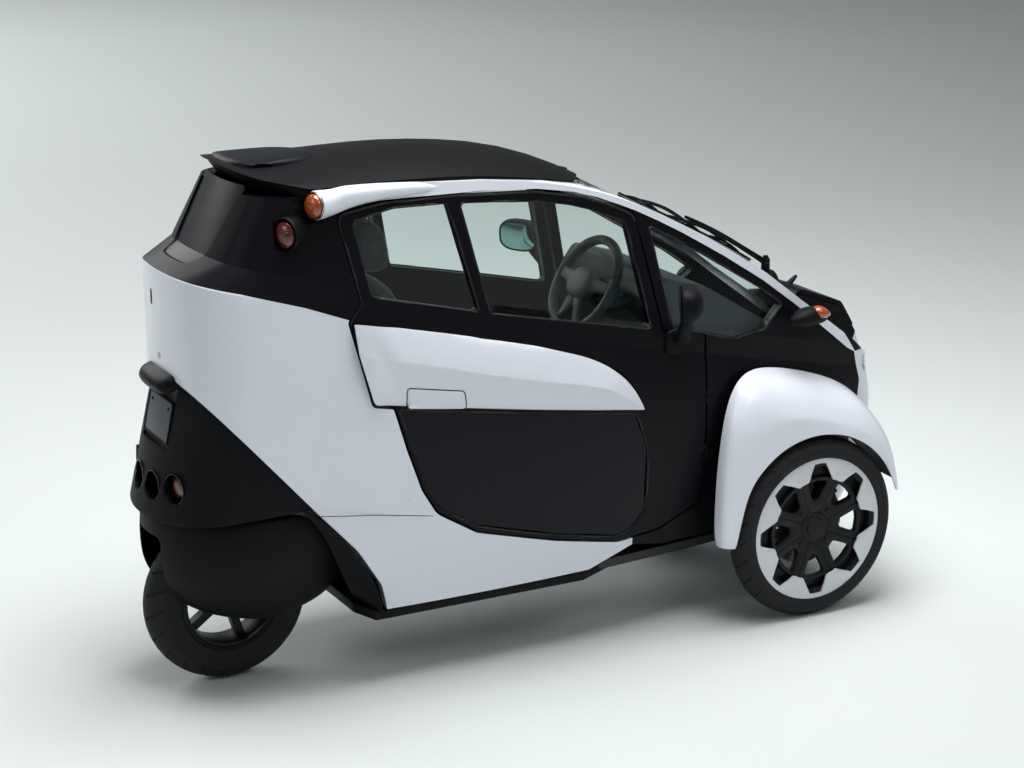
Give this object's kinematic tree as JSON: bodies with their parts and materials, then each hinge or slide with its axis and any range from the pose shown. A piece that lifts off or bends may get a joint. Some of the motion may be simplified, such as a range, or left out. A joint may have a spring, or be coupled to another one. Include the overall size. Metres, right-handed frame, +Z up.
{
  "type": "three-wheeled car",
  "caption": "Narrow tandem two-seat electric runabout with paired front wheels, a steered rear wheel, front-hinged glazed doors and an enclosed cabin.",
  "frame": {"origin": "centre of the bounding box on the ground plane, with the wheels standing on it", "axes": "+X to the vehicle's front, +Y to its left, +Z up"},
  "size_m": [2.3426, 1.146, 1.473],
  "materials": {
    "white_paint": "gloss pearl white",
    "black_paint": "satin near-black",
    "black_plastic": "matte black",
    "tinted_glass": "green-tinted, polished",
    "smoked_glass": "dark smoked, polished",
    "clear_lens": "clear, polished",
    "amber_lens": "amber, polished",
    "red_lens": "red, polished",
    "underbody_metal": "satin black",
    "battery_case": "satin dark grey",
    "seat_cloth": "dark woven",
    "black_alloy": "painted black",
    "silver_cover": "silver, satin",
    "tyre_rubber": "matte",
    "plate_dark": "dark grey, blank"
  },
  "bodies": {
    "chassis": {"amber_lamps": "amber_lens", "arch_rails": "white_paint", "battery_block": "battery_case", "bulkhead": "underbody_metal", "dashboard": "black_plastic", "driver_seat": "seat_cloth", "fender_left": "white_paint", "fender_right": "white_paint", "floor_pan": "underbody_metal", "front_side_panels": "black_paint", "headlamps": "clear_lens", "hood": "black_paint", "knuckles": "underbody_metal", "nose": "white_paint", "number_plate": "plate_dark", "plate_hood": "black_plastic", "quarter_windows": "tinted_glass", "rear_seat": "seat_cloth", "rear_shell": "white_paint", "rear_window": "tinted_glass", "red_lamps": "red_lens", "roof_panel": "black_paint", "spoiler": "black_paint", "steering_column": "black_plastic", "suspension_arms": "underbody_metal", "tail_housing": "black_plastic", "upper_shell": "black_paint", "windscreen": "tinted_glass", "wipers": "black_plastic"},
    "steering_wheel": {"steering_wheel": "black_plastic"},
    "door_right": {"door_band_right": "white_paint", "door_handle_right": "white_paint", "door_pane_right": "smoked_glass", "door_shell_right": "black_paint", "door_window_right": "tinted_glass", "mirror_right": "black_paint"},
    "door_left": {"door_band_left": "white_paint", "door_handle_left": "white_paint", "door_pane_left": "smoked_glass", "door_shell_left": "black_paint", "door_window_left": "tinted_glass", "mirror_left": "black_paint"},
    "front_wheel_right": {"front_tyre_right": "tyre_rubber", "front_rim_right": "black_alloy", "rim_cover_right": "silver_cover"},
    "front_wheel_left": {"front_tyre_left": "tyre_rubber", "front_rim_left": "black_alloy", "rim_cover_left": "silver_cover"},
    "rear_steer": {"hugger": "black_plastic", "rear_fork": "underbody_metal"},
    "rear_wheel": {"rear_tyre": "tyre_rubber", "rear_rim": "black_alloy"}
  },
  "joints": [
    {"name": "front_wheel_right_spin", "type": "hinge", "parent": "chassis", "child": "front_wheel_right", "pos_m": [0.775, -0.383, 0.275], "axis": [0, 1, 0], "continuous": true},
    {"name": "front_wheel_left_spin", "type": "hinge", "parent": "chassis", "child": "front_wheel_left", "pos_m": [0.775, 0.383, 0.275], "axis": [0, 1, 0], "continuous": true},
    {"name": "rear_steer", "type": "hinge", "parent": "chassis", "child": "rear_steer", "pos_m": [-0.86, 0, 0.5], "axis": [0, 0, 1], "range_deg": [-26, 26]},
    {"name": "rear_wheel_spin", "type": "hinge", "parent": "rear_steer", "child": "rear_wheel", "pos_m": [-0.925, 0, 0.235], "axis": [0, 1, 0], "continuous": true},
    {"name": "steering_wheel_turn", "type": "hinge", "parent": "chassis", "child": "steering_wheel", "pos_m": [0.219, 0, 0.987], "axis": [-0.866, 0, 0.5], "range_deg": [-235, 235]},
    {"name": "door_right_hinge", "type": "hinge", "parent": "chassis", "child": "door_right", "pos_m": [0.4415, -0.322, 0.6], "axis": [0, 0, 1], "range_deg": [0, 60]},
    {"name": "door_left_hinge", "type": "hinge", "parent": "chassis", "child": "door_left", "pos_m": [0.4415, 0.322, 0.6], "axis": [0, 0, -1], "range_deg": [0, 60]}
  ],
  "couplings": [
    {"joint": "steering_wheel_turn", "follows": "rear_steer", "ratio": -9}
  ]
}
